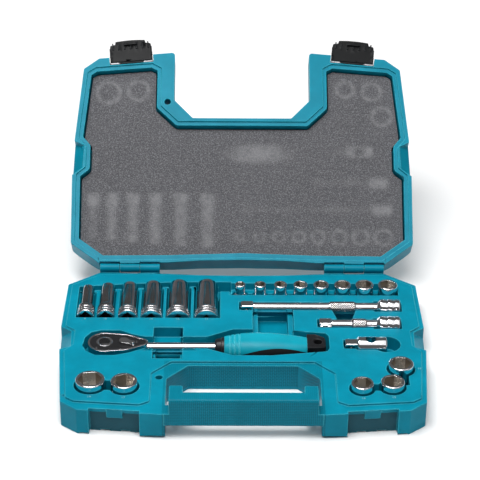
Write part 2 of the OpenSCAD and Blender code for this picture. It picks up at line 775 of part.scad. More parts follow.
module cover_screws() {
    color("dimgray") at_ratchet() for (p = screw_places) translate([p[0], p[1], 0]) difference() {
        union() {
            translate([0, 0, -cover_t]) cylinder(h = cover_t - 0.1, r = screw_head_r);
            translate([0, 0, -5.6]) cylinder(h = 4.6, r = screw_r);
        }
        translate([0, 0, -0.6]) cylinder(h = 1, r = 0.6, $fn = 6);
    }
}

// The drive gear with its square, and the bores for the release button, its spring and the ball
module drive_gear() {
    step = 180 / gear_teeth;
    color("silver") at_ratchet() difference() {
        union() {
            translate([0, 0, gear_bottom]) linear_extrude(gear_top - gear_bottom)
                polygon([for (i = [0:2 * gear_teeth - 1])
                let (r = gear_r - (i % 2) * tooth_h) [r * cos(step * i), r * sin(step * i)]]);
            translate([0, 0, gear_top - 0.01]) cylinder(h = hub_top - gear_top, r = hub_r);
            translate([0, 0, hub_bottom]) cylinder(h = gear_bottom - hub_bottom + 0.01, r = hub_r);
            translate([0, 0, square_bottom]) drive_square(hub_bottom - square_bottom);
        }
        translate([0, 0, cap_bottom - button_travel - 0.3]) cylinder(h = over, r = cap_r + run_play);
        translate([0, 0, spring_bottom]) cylinder(h = over, r = spring_bore_r);
        translate([0, 0, stem_bore_bottom]) cylinder(h = over, r = stem_r + run_play);
        translate([0, 0, anvil_ball_z]) rotate([90, 0, 0]) cylinder(h = over, r = ball_r + run_play);
    }
}

// A drive square with its centre on z, from z = 0 up to z = h, chamfered at its lower end
module drive_square(h) {
    intersection() {
        translate([-drive_sq / 2, -drive_sq / 2, 0]) cube([drive_sq, drive_sq, h]);
        cylinder(h = h, r1 = drive_sq * 0.56, r2 = drive_sq * 0.56 + h);
        cylinder(h = h, r = drive_sq * 0.66);
    }
}

module release_button() {
    color("dimgray") at_ratchet() {
        translate([0, 0, cap_bottom]) cylinder(h = cap_top - cap_bottom, r = cap_r);
        rotate_extrude() polygon([[0, stem_bottom], [stem_r, stem_bottom], [stem_r, anvil_ball_z + 0.1],
            [stem_waist_r, anvil_ball_z + 1], [stem_waist_r, anvil_ball_z + 3.4],
                [stem_r, anvil_ball_z + 4.4],
            [stem_r, cap_bottom + 0.01], [0, cap_bottom + 0.01]]);
    }
}

module release_spring() {
    color("silver") at_ratchet() translate([0, 0, spring_bottom + 0.05])
        coil(spring_r, 0.6, cap_bottom - spring_bottom - 0.25, 4);
}

module anvil_ball() {
    color("silver") at_ratchet() translate([0, -drive_sq / 2 + ball_r - ball_out, anvil_ball_z])
        sphere(ball_r);
}

// The two-ended pawl, rocked towards one side
module pawl() {
    color("gray") at_ratchet() translate([pivot_x, 0, 0]) rotate([0, 0, -pawl_rock])
        translate([-pivot_x, 0, gear_bottom + 0.2])
        linear_extrude(gear_top - gear_bottom - 0.4) difference() {
            union() {
                intersection() {
                    difference() {
                        circle(pawl_arm_r + pawl_arm_t);
                        circle(pawl_arm_r);
                    }
                    polygon([[0, 0], [20, 14.5], [20, -14.5]]);
                }
                translate([pawl_arm_r + 1, -2.4]) square([pivot_x - pawl_arm_r - 1, 4.8]);
                translate([pivot_x, 0]) circle(pawl_hub_r);
            }
            translate([pivot_x, 0]) circle(post_r + run_play);
        }
}

module pawl_spring() {
    color("silver") at_ratchet() translate([pivot_x + pawl_hub_r + 0.35, 0, shank_z]) rotate([0, 90, 0])
        coil(1.3, 0.5, 5.1, 4);
}

module reverse_lever() {
    color("silver") at_ratchet() translate([pivot_x, 0, 0]) rotate([0, 0, -lever_swing]) {
        translate([0, 0, -2.9]) cylinder(h = 3.3, r = lever_r);
        translate([0, 0, 0.3]) cylinder(h = 1.9, r = 4.1);
        translate([0, 0, 0.3]) linear_extrude(1.9) tapered(0, 4.1, 9.6, 2.1);
        translate([9.6, 0, 0.3]) cylinder(h = 3.2, r = 2.1);
    }
}

// Half of the grip's long section, seen from the side: two shallow arcs that meet at its thickest place
arc_mid = (grip_x + butt_x) / 2 - 8;
arc_front_r = 125;
arc_rear_r = 240;

module grip_arc(shrink, x0, x1) {
    for (p = [[arc_front_r, x0, min(x1, arc_mid)], [arc_rear_r, max(x0, arc_mid), x1]])
        if (p[2] > p[1]) intersection() {
        translate([arc_mid, grip_r - p[0]]) circle(p[0] - shrink, $fn = 240);
        translate([p[1], 0]) square([p[2] - p[1], 2 * grip_r]);
    }
}

// The grip's rounded solid between two places along the shank
module grip_solid(shrink, x0, x1) {
    translate([0, 0, shank_z]) {
        for (y = [-grip_flat, grip_flat]) translate([0, y, 0]) rotate([0, 90, 0]) rotate_extrude()
            rotate(90) mirror([0, 1]) grip_arc(shrink, x0, x1);
        translate([0, grip_flat, 0]) rotate([90, 0, 0]) linear_extrude(2 * grip_flat) for (m = [0, 1])
            mirror([0, m]) grip_arc(shrink, x0, x1);
    }
}

collar_r = 8;
spigot_r = 5;
spigot_len = 4;
inlay_t = 1.3;
inlay_x = butt_x - 23;
inlay_arc_r = 60;

module grip_collar() {
    color("#232326") at_ratchet() difference() {
        translate([collar_x, 0, shank_z]) rotate([0, 90, 0]) {
            cylinder(h = 1.2, r1 = collar_r - 1, r2 = collar_r);
            translate([0, 0, 1.2])
                cylinder(h = grip_x - collar_x - 3.5, r1 = collar_r, r2 = collar_r + 0.9);
            translate([0, 0, grip_x - collar_x - 2.4]) cylinder(h = 2.4, r = collar_r + 1.6);
        }
        rod_x(collar_x - 1, grip_x + 1, 0, shank_z, shank_r + run_play);
    }
}

// The space of the two black inlays in the sides of the grip
module inlay_space(grow) {
    difference() {
        intersection() {
            grip_solid(-grow, grip_x + 10, butt_x - 0.6);
            translate([0, 40, shank_z]) rotate([90, 0, 0]) linear_extrude(80) intersection() {
                translate([inlay_x, -1.5 - inlay_arc_r]) circle(inlay_arc_r, $fn = 120);
                translate([inlay_x, inlay_arc_r - 10.5]) circle(inlay_arc_r, $fn = 120);
            }
        }
        grip_solid(inlay_t, grip_x, butt_x);
    }
}

module grip() {
    color("darkcyan") at_ratchet() difference() {
        grip_solid(0, grip_x, butt_x);
        rod_x(grip_x - 1, tang_end_x + 0.5, 0, shank_z, shank_r + run_play);
        rod_x(butt_x - spigot_len - 0.5, butt_x + 1, 0, shank_z, spigot_r + run_play);
        inlay_space(1);
        for (i = [0:2]) difference() {
            translate([grip_x + 5 + 4.2 * i, -30, shank_z - 30]) cube([1.1, 60, 60]);
            grip_solid(0.6, grip_x, butt_x);
        }
    }
}

module grip_inlays() {
    color("#232326") at_ratchet() inlay_space(0.25);
}

module grip_butt() {
    w = 10.9;
    h = 7.7;
    color("#232326") at_ratchet() difference() {
        union() {
            intersection() {
                translate([0, 0, shank_z - 2 * h]) linear_extrude(4 * h) rounded(4)
                    polygon([[butt_x - 20, w + 0.4],
                    [butt_x + 8, w], [butt_end_x, w - 3.5], [butt_end_x, 3.5 - w],
                        [butt_x + 8, -w], [butt_x - 20, -w - 0.4]]);
                translate([0, 2 * w, shank_z]) rotate([90, 0, 0]) linear_extrude(4 * w) rounded(2.4)
                    polygon([[butt_x - 20, h], [butt_x + 8, h], [butt_end_x, h - 1.6],
                        [butt_end_x, 1.6 - h],
                        [butt_x + 8, -h], [butt_x - 20, -h]]);
                translate([butt_x, -50, -50]) cube(100);
            }
            rod_x(butt_x - spigot_len, butt_x + 1, 0, shank_z, spigot_r);
        }
        translate([hang_x, 0, -50]) cylinder(h = 100, r = hang_r);
        translate([hang_x, 0, shank_z + h - 1.2]) cylinder(h = 1.3, r1 = hang_r, r2 = hang_r + 1.3);
    }
}

// ---------------------------------------------------------------- extensions and tee adapter

ball_x = 5.4;
ball_hole = 5.2;
long_knurl = [67, 41.5];
short_knurl = [44.7, 30.7];

module at_tool(x, d) {
    translate([x, back(d), ext_z]) children();
}

// A drive square along x with its ball hole in the front face
module lying_square() {
    difference() {
        rotate([0, 90, 0]) drive_square(sq_len + 0.5);
        translate([ball_x, -drive_sq / 2 - 1, 0]) rotate([-90, 0, 0])
            cylinder(h = ball_hole + 1, r = ball_r + run_play);
    }
}

module lying_ball(x, d) {
    color("silver") at_tool(x + ball_x, d) translate([0, -drive_sq / 2 + ball_r - ball_out, 0])
        sphere(ball_r);
}

module ball_spring(x, d) {
    start = -drive_sq / 2 + 2 * ball_r - ball_out + 0.15;
    color("silver") at_tool(x + ball_x, d) translate([0, start, 0]) rotate([-90, 0, 0])
        coil(1, 0.4, ball_hole - drive_sq / 2 - start - 0.1, 3);
}

module extension(x, d, len, knurl) {
    color("silver") at_tool(x, d) difference() {
        union() {
            lying_square();
            translate([sq_len, 0, 0]) rotate([0, 90, 0]) {
                cylinder(h = 1, r1 = shank_r - 0.6, r2 = shank_r);
                translate([0, 0, 1]) cylinder(h = len - head_len - sq_len - 1, r = shank_r);
                translate([0, 0, len - head_len - sq_len - 3.2])
                    cylinder(h = 3.2, r1 = shank_r, r2 = head_d / 2 - 0.4);
                translate([0, 0, len - head_len - sq_len]) cylinder(h = head_len - 0.6, r = head_d / 2);
                translate([0, 0, len - sq_len - 0.6])
                    cylinder(h = 0.6, r1 = head_d / 2, r2 = head_d / 2 - 0.6);
            }
            translate([len - knurl[0], 0, 0]) rotate([0, 90, 0]) {
                cylinder(h = 0.8, r1 = shank_r, r2 = shank_r + knurl_grow);
                translate([0, 0, 0.8]) cylinder(h = knurl[0] - knurl[1] - 1.6, r = shank_r + knurl_grow);
                translate([0, 0, knurl[0] - knurl[1] - 0.8])
                    cylinder(h = 0.8, r1 = shank_r + knurl_grow, r2 = shank_r);
            }
        }
        translate([len - sq_len - 0.6, 0, 0]) square_socket(sq_len + 2);
        for (g = [5.5, 12.5]) translate([len - g, 0, 0]) rotate([0, 90, 0])
            ring_groove(head_d / 2, 1.4, 0.5);
    }
}

module square_socket(h) {
    s = drive_sq + square_play;
    translate([0, -s / 2, -s / 2]) cube([h, s, s]);
}

// A groove around z, w wide and deep below the radius r
module ring_groove(r, w, deep) {
    difference() {
        cylinder(h = w, r = r + 1);
        translate([0, 0, -1]) cylinder(h = w + 2, r = r - deep);
    }
}

module tee_adapter() {
    len = tee_end_x - tee_x;
    r = head_d / 2;
    color("silver") at_tool(tee_x, tee_d) difference() {
        union() {
            lying_square();
            translate([sq_len, 0, 0]) rotate([0, 90, 0]) {
                cylinder(h = 1.2, r1 = r - 1.2, r2 = r);
                translate([0, 0, 1.2]) cylinder(h = len - sq_len - 2.2, r = r);
                translate([0, 0, len - sq_len - 1]) cylinder(h = 1, r1 = r, r2 = r - 1);
            }
        }
        translate([(sq_len + len) / 2 - 1, 0, -20]) cylinder(h = 40, r = tee_hole_r);
    }
}

module long_extension() extension(long_x, long_d, long_len, long_knurl);
module long_extension_ball() lying_ball(long_x, long_d);
module long_extension_spring() ball_spring(long_x, long_d);
module short_extension() extension(short_x, short_d, short_len, short_knurl);
module short_extension_ball() lying_ball(short_x, short_d);
module short_extension_spring() ball_spring(short_x, short_d);
module tee_adapter_ball() lying_ball(tee_x, tee_d);
module tee_adapter_spring() ball_spring(tee_x, tee_d);

// ---------------------------------------------------------------- sockets

wall_web = 2.4;

// A socket along z from its drive end at z = 0, with a six-sided mouth of the given size at its nose
module socket(af, len, drive, nose, step_z, hex_h, turn, grooves) {
    difference() {
        rotate_extrude($fn = 96) polygon([[0, 0], [drive / 2 - 0.7, 0], [drive / 2, 0.7],
            [drive / 2, step_z],
            [nose / 2, step_z + abs(drive - nose) / 2 + 0.4], [nose / 2, len - 0.6],
                [nose / 2 - 0.6, len], [0, len]]);
        translate([0, 0, -0.01]) rotate([0, 0, 45]) rotate([0, -90, 0]) square_socket(sq_len + 0.5);
        translate([0, 0, sq_len]) cylinder(h = len, r = min(af * 0.43, 4.2));
        translate([0, 0, len - hex_h]) rotate([0, 0, turn])
            cylinder(h = hex_h + 1, r = (af / 2 + 0.1) / cos(30), $fn = 6);
        for (g = grooves) translate([0, 0, g]) ring_groove(drive / 2, 1, 0.5);
    }
}

module row_socket(i) {
    af = row_af[i];
    color("silver") translate([row_x[i], back(row_d), parting_z + tool_top - row_len])
        socket(af, row_len, shallow_drive_d(af), nose_d(af), sq_len + 1.2, row_len - sq_len - wall_web,
            12 * i, [3.4]);
}

module front_socket(i) {
    af = front_af[i];
    color("silver") translate([front_x[i], back(front_d - front_in[i]), parting_z + tool_top - front_len])
        socket(af, front_len, shallow_drive_d(af), nose_d(af), sq_len + 1.2,
            front_len - sq_len - wall_web, front_turn[i], [3.4]);
}

module deep_socket(i) {
    af = deep_af[i];
    color("dimgray") translate([deep_x[i], back(deep_front_d), deep_axis_z(i)]) rotate([-90, 0, 0])
        socket(af, deep_front_d - deep_d[i], deep_drive_d(af), deep_nose_d(af),
            af > 10 ? 9.4 : 13.4, 18, 0, [3.6, 7.4]);
}

tray();
hinge_pin_left();
hinge_pin_right();
lid();
lid_foam();
latch_left();
latch_right();
latch_pin_left();
latch_pin_right();
ratchet_body();
ratchet_cover();
cover_screws();
drive_gear();
release_button();
release_spring();
anvil_ball();
pawl();
pawl_spring();
reverse_lever();
grip_collar();
grip();
grip_inlays();
grip_butt();
long_extension();
long_extension_ball();
long_extension_spring();
short_extension();
short_extension_ball();
short_extension_spring();
tee_adapter();
tee_adapter_ball();
tee_adapter_spring();
for (i = [0:len(row_af) - 1]) row_socket(i);
for (i = [0:len(front_af) - 1]) front_socket(i);
for (i = [0:len(deep_af) - 1]) deep_socket(i);
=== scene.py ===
"""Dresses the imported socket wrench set: case shells, foam, chrome tools, grip and the stage."""

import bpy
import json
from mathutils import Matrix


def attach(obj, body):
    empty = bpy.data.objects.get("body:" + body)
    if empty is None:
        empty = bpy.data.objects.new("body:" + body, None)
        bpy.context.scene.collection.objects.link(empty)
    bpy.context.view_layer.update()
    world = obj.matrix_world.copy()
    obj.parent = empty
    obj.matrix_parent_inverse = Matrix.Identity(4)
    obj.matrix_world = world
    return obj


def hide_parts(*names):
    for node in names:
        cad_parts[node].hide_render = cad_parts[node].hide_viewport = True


bl_info = {
    "name": "Socket wrench set in case",
    "version": (1, 0, 0),
    "blender": (4, 5, 0),
    "location": "3D View > Sidebar > Socket set",
    "description": "Builds the finishes, the pieces and the stage of a cased socket wrench set",
    "category": "Object",
}

import bisect
import json
import math

import bmesh
import bpy
from bpy.props import FloatProperty, FloatVectorProperty, PointerProperty
from mathutils import Matrix, Quaternion, Vector, noise
from mathutils.bvhtree import BVHTree

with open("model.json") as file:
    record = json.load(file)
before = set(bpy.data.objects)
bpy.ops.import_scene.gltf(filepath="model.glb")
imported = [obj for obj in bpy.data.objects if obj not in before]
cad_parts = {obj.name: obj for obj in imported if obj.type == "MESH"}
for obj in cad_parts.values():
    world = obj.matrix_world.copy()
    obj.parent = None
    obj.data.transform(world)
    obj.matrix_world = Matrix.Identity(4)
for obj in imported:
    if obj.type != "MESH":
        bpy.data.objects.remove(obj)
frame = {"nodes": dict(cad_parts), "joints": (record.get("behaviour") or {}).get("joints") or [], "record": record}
NODES = frame["nodes"]
BODY_OF = {
    name: body
    for body, names in frame["record"]["behaviour"]["bodies"].items()
    for name in names}
SLOT_OF = {part["node"]: part["material_slot"] for part in frame["record"]["subparts"]}
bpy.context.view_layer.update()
MM = 0.001
HINGE = next(joint for joint in frame["joints"] if joint["name"] == "lid_hinge")
HINGE_PLACE = Vector(HINGE["pos_m"])
# Turns the open lid's pieces to where they are when it is shut
SHUT = (
    Matrix.Translation(HINGE_PLACE)
    @ Matrix.Rotation(math.radians(HINGE["range_deg"][0]), 4, Vector(HINGE["axis"]))
    @ Matrix.Translation(-HINGE_PLACE))


# ---------------------------------------------------------------- measured places and sizes

# The diamond texture round the hand opening and on the handle, its dots painted darker as shade in the relief
DIAMOND_PITCH = 3.4 * MM
DIAMOND_SHADE = 0.45
HELD_HALF_WIDTH = 71 * MM
HELD_BACK = -36 * MM
HELD_FOOT = 3 * MM
# The recessed panels behind the latches, painted darker as shade: slanted, and notched low in the middle
PANEL_ACROSS = 112.9 * MM
PANEL_FRONT = -103.9 * MM
PANEL_SLANT = 0.0936
PANEL_SKIN = 0.9 * MM
PANEL_HALF_WIDTH = 22.2 * MM
PANEL_TOP = 20.2 * MM
NOTCH_HALF_WIDTH = 6.6 * MM
NOTCH_FOOT = 15 * MM
PANEL_SHADE_COLOUR = (0.02, 0.065, 0.085)
# The matt rings of the drive ends that face the handle, painted brighter as a highlight: place and half width
DRIVE_RINGS = ((37.9 * MM, 0.9 * MM), (42.6 * MM, 0.8 * MM), (46.6 * MM, 0.8 * MM))
DRIVE_END = (50 * MM, 46 * MM)
# The soft black lens low on the grip's near side
LENS_MIDDLE = 29 * MM
LENS_HALF_LENGTH = 29 * MM
LENS_RISE = 5.2 * MM
LENS_ENDS = 23.6 * MM
LENS_FRONT = -8 * MM

# Meshes: how close corners are merged, how flat faces are joined
SEAM = 0.004 * MM
WELD = 0.001 * MM
CLOSE_SHARE = 0.3
FLAT_ANGLE = math.radians(0.3)
# A cut slides by up to 8 of the 24 parts of a cell
CELL_PARTS = 24
SLIDES = range(-8, 9)
CUT_SNAP = 0.05 * MM
LATCH_EDGE = 0.35 * MM
PIN_EDGE = 0.15 * MM

# A socket's inside: faces that look at its axis, or along it near the axis and away from the rims
LOOKS_ALONG = 0.9
LOOKS_INWARD = -0.3
RIM = 0.3 * MM
BORE_SHARE = 0.35
# A hexagon's flats are counted by this turn, from this share of it, so that painted light and shade alternate
# between them
FLAT_TURN = math.radians(60)
FLAT_START = 0.25

# The knurled bands: body, start and stop along the bar, and how far back the bar lies
KNURLS = (
    ("long_extension", 81.5 * MM, 107.0 * MM, 54.8 * MM),
    ("short_extension", 101.5 * MM, 115.5 * MM, 25.7 * MM))
BAR_HEIGHT = 26.0 * MM
KNURL_RADIUS = 5.62 * MM
# A band's ends sink into the bar over a 14th of its length
KNURL_SINK = 0.5 * MM
KNURL_FADE = 14
# Grid cells across one diamond
KNURL_GRID = 6

# The size numbers, which stand before their sockets, but for one that stands aside
DEEP_SIZES = (8, 10, 12, 14, 16, 17)
FRONT_SIZES = (19, 17, 14, 15, 16)
SIZE_ASIDE = 16
DEEP_NUMBERS_BACK = 31.5 * MM
NUMBER_GAP = 5.5 * MM
NUMBER_HEIGHT = 0.3 * MM
DECK_TOP = 28.0 * MM

# The foam's face: how it is found and cut, how the pressure is spread, and its uneven rise
FOAM_FACE = 0.1 * MM
FOAM_SNAP = 0.0001 * MM
FOAM_REACH = 0.4 * MM
FOAM_PASSES = 2
FOAM_RISE = 0.3 * MM
# Scale and share of each part of the unevenness
FOAM_WAVES = ((160, 0.25), (45, 0.3))

# The stage, in metres. Each light: name, place, the point it is aimed at, size
FLOOR_HALF_SIDE = 6.0
LIGHTS = (
    ("key", (-0.2, -0.2, 1.4), (0.0, 0.03, 0.05), (1.2, 0.6)),
    ("wash", (0.1, -0.4, 1.6), (0.0, 0.03, 0.05), (2.6, 1.9)),
    ("back", (0.0, 2.0, 1.3), (0.0, 2.0, 0.0), (3.0, 1.2)))
CAMERA_PITCH = math.radians(31.9)
CAMERA_YAW = math.radians(0.62)
CAMERA_ROLL = math.radians(0.55)
CAMERA_AIM = (-0.0027, 0.0487, 0.075)
CAMERA_DISTANCE = 1.634
CAMERA_LENS = 132.1
CAMERA_SENSOR = 36.0
CAMERA_SHIFT = 0.056
CAMERA_CLIP = (0.05, 50.0)


# ---------------------------------------------------------------- shader maths

class Wire:
    """A value that runs between shader nodes. Python's operators on it add Math nodes."""

    def __init__(self, finish, socket):
        self.finish, self.socket = finish, socket

    def maths(self, operation, *values):
        return self.finish.add("ShaderNodeMath", {"operation": operation}, dict(enumerate(values)))

    def __add__(self, other):
        return self.maths("ADD", self, other)

    def __sub__(self, other):
        return self.maths("SUBTRACT", self, other)

    def __rsub__(self, other):
        return self.maths("SUBTRACT", other, self)

    def __mul__(self, other):
        return self.maths("MULTIPLY", self, other)

    def __truediv__(self, other):
        return self.maths("DIVIDE", self, other)

    def above(self, other):
        return self.maths("GREATER_THAN", self, other)

    def below(self, other):
        return self.maths("LESS_THAN", self, other)

    def abs(self):
        return self.maths("ABSOLUTE", self)

    def sin(self):
        return self.maths("SINE", self)

    def most(self, other):
        return self.maths("MAXIMUM", self, other)

    def band(self, low, high):
        """0 below low and 1 above high, smooth between."""
        return self.finish.add(
            "ShaderNodeMapRange", {"interpolation_type": "SMOOTHSTEP"},
            {"Value": self, "From Min": low, "From Max": high}, "Result")


class Finish:
    """A material with one Principled shader, built node by node."""

    def __init__(self, name, **shader_values):
        self.material = bpy.data.materials.new(name + "_finish")
        self.material.use_nodes = True
        self.tree = self.material.node_tree
        self.tree.nodes.clear()
        output = self.tree.nodes.new("ShaderNodeOutputMaterial")
        self.shader = self.tree.nodes.new("ShaderNodeBsdfPrincipled")
        self.tree.links.new(self.shader.outputs[0], output.inputs["Surface"])
        self.set(**shader_values)

    def set(self, **values):
        for name, value in values.items():
            self.plug(self.shader.inputs[name.replace("_", " ")], value)

    def plug(self, socket, value):
        if isinstance(value, Wire):
            self.tree.links.new(value.socket, socket)
        elif socket.type == "RGBA" and len(value) == 3:
            socket.default_value = (*value, 1.0)
        else:
            socket.default_value = value

    def add(self, kind, settings=None, inputs=None, output=0):
        node = self.tree.nodes.new(kind)
        for name, value in (settings or {}).items():
            setattr(node, name, value)
        for name, value in (inputs or {}).items():
            self.plug(node.inputs[name], value)
        return Wire(self, node.outputs[output])

    def place(self):
        return self.add("ShaderNodeTexCoord", output="Object")

    def axes(self):
        split = self.tree.nodes.new("ShaderNodeSeparateXYZ")
        self.plug(split.inputs[0], self.place())
        return [Wire(self, out) for out in split.outputs]

    def noise(self, scale, detail=2.0, roughness=0.5):
        return self.add("ShaderNodeTexNoise", None, {
            "Vector": self.place(), "Scale": scale, "Detail": detail, "Roughness": roughness})

    def clouds(self):
        """Soft patches a couple of centimetres wide."""
        return self.noise(55, 3, 0.6).band(0.35, 0.7)

    def mix(self, share, first, second):
        node = self.tree.nodes.new("ShaderNodeMix")
        node.data_type = "RGBA"
        self.plug(node.inputs["Factor"], share)
        self.plug(node.inputs[6], first)
        self.plug(node.inputs[7], second)
        return Wire(self, node.outputs[2])

    def bump(self, height, strength, distance):
        return self.add("ShaderNodeBump", None, {
            "Height": height, "Strength": strength, "Distance": distance}, "Normal")

    def base(self):
        """What feeds the base colour so far."""
        return Wire(self, self.shader.inputs["Base Color"].links[0].from_socket)


def shade(colour, share, added=0.0):
    return [c * share + added for c in colour]


# ---------------------------------------------------------------- finishes

def moulded(finish, colour, light, grain=1.0, pattern=None, dark=None):
    """Colours a moulded plastic: faint mottling, a painted highlight along the edges, broken up by noise, and a
    fine spark-eroded grain.
    """
    mottle = finish.noise(38, 4, 0.6).band(0.3, 0.75)
    body = finish.mix(mottle, shade(colour, 0.9), shade(colour, 1.1))
    # A pattern's dots are painted darker, as shade in a relief.
    if pattern is not None:
        body = finish.mix(pattern, body, shade(colour, DIAMOND_SHADE))
    # The dark mask marks painted shade: there the colour is mixed toward the panel shade colour.
    if dark is not None:
        body = finish.mix(dark * 0.85, body, PANEL_SHADE_COLOUR)
    bevel = finish.add("ShaderNodeBevel", {"samples": 4}, {"Radius": 1.0 * MM})
    flat = finish.add("ShaderNodeNewGeometry", output="Normal")
    turn = finish.add(
        "ShaderNodeVectorMath", {"operation": "DOT_PRODUCT"}, {0: bevel, 1: flat}, "Value")
    # Painted highlight: edges found from the bevel normal, broken up by noise, are mixed toward the light colour
    # and made a little rougher.
    edge = (1 - turn).band(0.004, 0.09)
    edge_highlight = edge * finish.noise(170, 3, 0.65).band(0.15, 0.5)
    finish.set(
        Base_Color=finish.mix(edge_highlight * 0.8, body, light),
        Roughness=0.38 - mottle * 0.05 + edge_highlight * 0.06)
    finish.grain = finish.noise(2300 / grain, 2, 0.6)
    return finish


def case_plastic(look):
    """Teal plastic with a diamond texture where a hand holds it, its dots painted darker as shade, and painted
    shade on the recessed panels behind the latches.
    """
    finish = Finish("case_plastic", IOR=1.5, Specular_IOR_Level=0.09)
    x, y, z = finish.axes()
    wave = 2 * math.pi / DIAMOND_PITCH
    # The diamonds' dots are painted darker below: painted shade of the relief.
    diamonds = ((x + y) * wave).sin() * ((z + y) * wave).sin()
    held = x.abs().below(HELD_HALF_WIDTH) * y.below(HELD_BACK) * z.above(HELD_FOOT)
    diamonds = diamonds * held
    # Painted shade: a thin skin over the recessed panels behind the latches, darkened.
    across = x.abs() - PANEL_ACROSS
    panel = (y - PANEL_FRONT - across * PANEL_SLANT).abs().below(PANEL_SKIN)
    panel = panel * across.abs().below(PANEL_HALF_WIDTH) * z.below(PANEL_TOP)
    panel = panel * across.abs().above(NOTCH_HALF_WIDTH).most(z.below(NOTCH_FOOT))
    moulded(finish, look.case_colour, (0.07, 0.5, 0.6), 1.0, diamonds.abs(), panel)
    finish.set(Normal=finish.bump(finish.grain + diamonds * 1.5, 0.3, 0.14 * MM))
    return finish.material


def numerals(look):
    finish = Finish("numerals", IOR=1.5, Specular_IOR_Level=0.09)
    # The numbers are paler than the case plastic, a painted highlight for the glints on their raised faces.
    return moulded(finish, shade(look.case_colour, 0.55, 0.12), (0.2, 0.6, 0.7)).material


def foam(look):
    """Charcoal foam with a speckled face, paler where the tools rub it."""
    finish = Finish("foam", Roughness=0.95, IOR=1.4, Specular_IOR_Level=0.1)
    cells = finish.add("ShaderNodeTexVoronoi", {"feature": "F1"}, {
        "Vector": finish.place(), "Scale": 800.0, "Randomness": 1.0}, "Distance")
    speckle = finish.noise(900, 2, 0.85).band(0.46, 0.64)
    cloud = finish.noise(22, 4, 0.6).band(0.35, 0.7)
    tone = finish.mix(cloud * 0.5, look.foam_colour, shade(look.foam_colour, 1.22))
    tone = finish.mix(speckle, tone, shade(look.foam_colour, 2, 0.04))
    pressed = finish.add("ShaderNodeAttribute", {"attribute_name": "pressed"}, output="Fac")
    rubbed = pressed * (finish.noise(120, 4, 0.7).band(0.2, 0.6) * 0.4 + 0.08)
    finish.set(Base_Color=finish.mix(rubbed, tone, (0.3, 0.3, 0.31)))
    finish.set(Normal=finish.bump(cells + speckle * 0.5, 0.6, 0.6 * MM))
    return finish.material


def latch_plastic(look):
    finish = Finish("latch_plastic", IOR=1.5, Specular_IOR_Level=0.1)
    moulded(finish, (0.0045, 0.005, 0.0055), (0.03, 0.032, 0.035))
    finish.set(Normal=finish.bump(finish.grain, 0.12, 0.1 * MM))
    return finish.material


def metal(name, colour, roughness, streaks=1.0, dark=0.9):
    """A plated or ground metal with faint polishing lines and small clouded patches."""
    finish = Finish(name, Metallic=1.0)
    cloud = finish.clouds()
    fine = finish.noise(900, 2, 0.7)
    finish.set(
        Base_Color=finish.mix(cloud, colour, shade(colour, dark)),
        Roughness=cloud * 0.04 + fine * 0.04 * streaks + roughness)
    finish.set(Normal=finish.bump(fine, 0.03 * streaks, 0.05 * MM))
    return finish


def pin_steel(look):
    return metal("pin_steel", (0.2, 0.2, 0.21), 0.36).material


def chrome(look):
    return metal("chrome", look.chrome_colour, 0.05, 0.6, 0.96).material


def dark_chrome(look):
    """Smoked chrome with a painted highlight: brighter on the ringed drive ends that face the handle."""
    finish = Finish("dark_chrome", Metallic=1.0)
    y = finish.axes()[1]
    cloud = finish.clouds()
    first, second, third = [(y - place).abs().below(half) for place, half in DRIVE_RINGS]
    rings = first.most(second).most(third)
    # Painted highlight: the drive end and its rings are mixed toward bright chrome.
    bright = y.band(*DRIVE_END) * 0.35 + rings * 0.65
    smoked = finish.mix(cloud, (0.56, 0.54, 0.54), (0.42, 0.405, 0.4))
    finish.set(
        Base_Color=finish.mix(bright, smoked, look.chrome_colour),
        Roughness=cloud * 0.05 + 0.09 + rings * 0.12)
    return finish.material


def socket_inside(look):
    """The lit flats in the bore of a socket: a painted highlight, the lit copy of the bore's metal."""
    finish = metal("socket_inside", (0.86, 0.81, 0.74), 0.22, 1.5, 0.85)
    finish.set(Metallic=0.82)
    return finish.material


def socket_shade(look):
    """Every other flat of a bore, dim as if it faced away from the light."""
    return metal("socket_shade", (0.46, 0.42, 0.37), 0.26, 1.5, 0.85).material


def knurled(look):
    """Chrome with painted shade that darkens it toward the bottom of the knurl's grooves."""
    finish = metal("knurled", look.chrome_colour, 0.16, 0.6, 0.96)
    ridge = finish.add("ShaderNodeAttribute", {"attribute_name": "ridge"}, output="Fac")
    # Painted shade: the low parts of the knurl are mixed toward near black.
    finish.set(Base_Color=finish.mix(ridge.band(0.2, 0.55), (0.012, 0.012, 0.013), finish.base()))
    return finish.material


def tool_steel(look):
    return metal("tool_steel", (0.13, 0.13, 0.135), 0.26).material


def cover_black(look):
    finish = Finish("cover_black", IOR=1.5, Coat_Roughness=0.06)
    moulded(finish, (0.008, 0.008, 0.009), (0.04, 0.04, 0.044))
    finish.set(Roughness=0.16, Coat_Weight=0.5)
    return finish.material


def grip_rubber(look):
    """Teal rubber with the soft black lens on its near side."""
    finish = Finish("grip_rubber", IOR=1.48, Specular_IOR_Level=0.16)
    moulded(finish, look.grip_colour, (0.1, 0.6, 0.68), 1.3)
    x, y, z = finish.axes()
    along = (x - LENS_MIDDLE) / LENS_HALF_LENGTH
    lens = z.below((1 - along * along) * LENS_RISE + LENS_ENDS) * y.below(LENS_FRONT)
    finish.set(Base_Color=finish.mix(lens, finish.base(), (0.011, 0.011, 0.012)))
    finish.set(Roughness=0.4, Normal=finish.bump(finish.grain, 0.22, 0.15 * MM))
    return finish.material


def grip_black(look):
    finish = Finish("grip_black", IOR=1.5, Specular_IOR_Level=0.3)
    moulded(finish, (0.01, 0.01, 0.0115), (0.05, 0.05, 0.055))
    finish.set(Roughness=0.36, Normal=finish.bump(finish.grain, 0.2, 0.12 * MM))
    return finish.material


